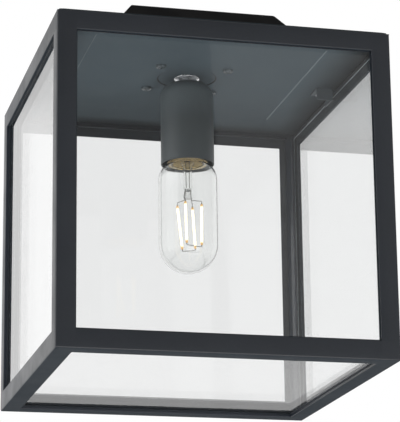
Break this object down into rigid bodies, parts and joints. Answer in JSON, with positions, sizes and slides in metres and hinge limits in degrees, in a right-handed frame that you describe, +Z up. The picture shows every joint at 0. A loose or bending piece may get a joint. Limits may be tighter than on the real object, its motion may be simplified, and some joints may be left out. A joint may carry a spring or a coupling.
{
  "type": "porch ceiling lantern",
  "caption": "Square glazed porch ceiling lantern with a sloping canopy, a pull-down glass cage and a tubular filament bulb in a sleeved lampholder.",
  "frame": {"origin": "centre of the face against the ceiling", "axes": "+Z up into the ceiling, -Y towards the front, +X to the right seen from the front"},
  "size_m": [0.245, 0.245, 0.278],
  "materials": {
    "canopy_coat": "black powder coat, fine texture",
    "frame_coat": "anthracite powder coat, fine texture",
    "roof_coat": "anthracite paint on pressed sheet, satin",
    "sleeve_coat": "anthracite paint, satin",
    "foam": "closed-cell foam, matt",
    "bush_rubber": "moulded rubber, matt",
    "seal_rubber": "silicone glazing seal, satin",
    "zinc_steel": "zinc plated, slightly dulled",
    "screw_coat": "painted with the roof plate",
    "clip_steel": "blackened spring steel",
    "washer_bright": "bright nickel plate",
    "brass_plain": "plain brass, lightly tarnished",
    "holder_resin": "moulded heat-resistant resin, matt",
    "block_resin": "moulded nylon, natural white",
    "lead_brown": "insulated lead, brown",
    "lead_blue": "insulated lead, blue",
    "lead_green": "insulated lead, green and yellow",
    "bulb_contact_metal": "solder-tinned contact",
    "bulb_glaze": "black insulating glass, glossy",
    "bulb_cap_metal": "rolled brass-coloured thread, bright",
    "bulb_glass": "clear blown glass",
    "stem_glass": "clear glass stem",
    "stick_phosphor": "yellow phosphor on a glass strip",
    "wire_metal": "nickel-plated wire",
    "pane_glass": "clear float glass, green at its edges"
  },
  "bodies": {
    "fixture": {"canopy": "canopy_coat", "ceiling_gasket": "foam", "cable_grommet": "bush_rubber", "roof_pillars": "zinc_steel", "terminal_block": "block_resin", "terminal_screws": "brass_plain", "block_screw": "zinc_steel", "earth_stud": "brass_plain", "live_lead": "lead_brown", "neutral_lead": "lead_blue", "earth_lead": "lead_green", "roof_plate": "roof_coat", "roof_screws": "screw_coat", "left_clip": "clip_steel", "right_clip": "clip_steel", "clip_rivets": "zinc_steel", "nipple": "zinc_steel", "nipple_nuts": "zinc_steel", "roof_washer": "washer_bright", "holder_sleeve": "sleeve_coat", "holder_cap": "holder_resin", "holder_insert": "holder_resin", "screw_shell": "brass_plain", "centre_contact": "brass_plain", "holder_terminals": "brass_plain", "holder_screws": "zinc_steel"},
    "bulb_tip": {"bulb_contact": "bulb_contact_metal"},
    "bulb": {"bulb_insulator": "bulb_glaze", "bulb_cap": "bulb_cap_metal", "bulb_envelope": "bulb_glass", "bulb_stem": "stem_glass", "led_filaments": "stick_phosphor", "filament_wires": "wire_metal"},
    "cage": {"post_front_left": "frame_coat", "post_front_right": "frame_coat", "post_back_right": "frame_coat", "post_back_left": "frame_coat", "top_rail_front": "frame_coat", "top_rail_right": "frame_coat", "top_rail_back": "frame_coat", "top_rail_left": "frame_coat", "bottom_rail_front": "frame_coat", "bottom_rail_right": "frame_coat", "bottom_rail_back": "frame_coat", "bottom_rail_left": "frame_coat", "pane_front": "pane_glass", "pane_right": "pane_glass", "pane_back": "pane_glass", "pane_left": "pane_glass", "pane_bottom": "pane_glass", "seal_front": "seal_rubber", "seal_right": "seal_rubber", "seal_back": "seal_rubber", "seal_left": "seal_rubber", "seal_bottom": "seal_rubber", "bead_front_left": "seal_rubber", "bead_front_right": "seal_rubber", "bead_back_right": "seal_rubber", "bead_back_left": "seal_rubber"}
  },
  "joints": [
    {"name": "cage_drop", "type": "slide", "parent": "fixture", "child": "cage", "axis": [0, 0, -1], "range_m": [0, 0.175]},
    {"name": "bulb_travel", "type": "slide", "parent": "fixture", "child": "bulb_tip", "axis": [0, 0, -1], "range_m": [0, 0.0255]},
    {"name": "bulb_turn", "type": "hinge", "parent": "bulb_tip", "child": "bulb", "pos_m": [0, 0, -0.13], "axis": [0, 0, -1], "range_deg": [0, 2520]}
  ],
  "couplings": [
    {"joint": "bulb_travel", "follows": "bulb_turn", "m_per_rad": 0.00057757}
  ]
}
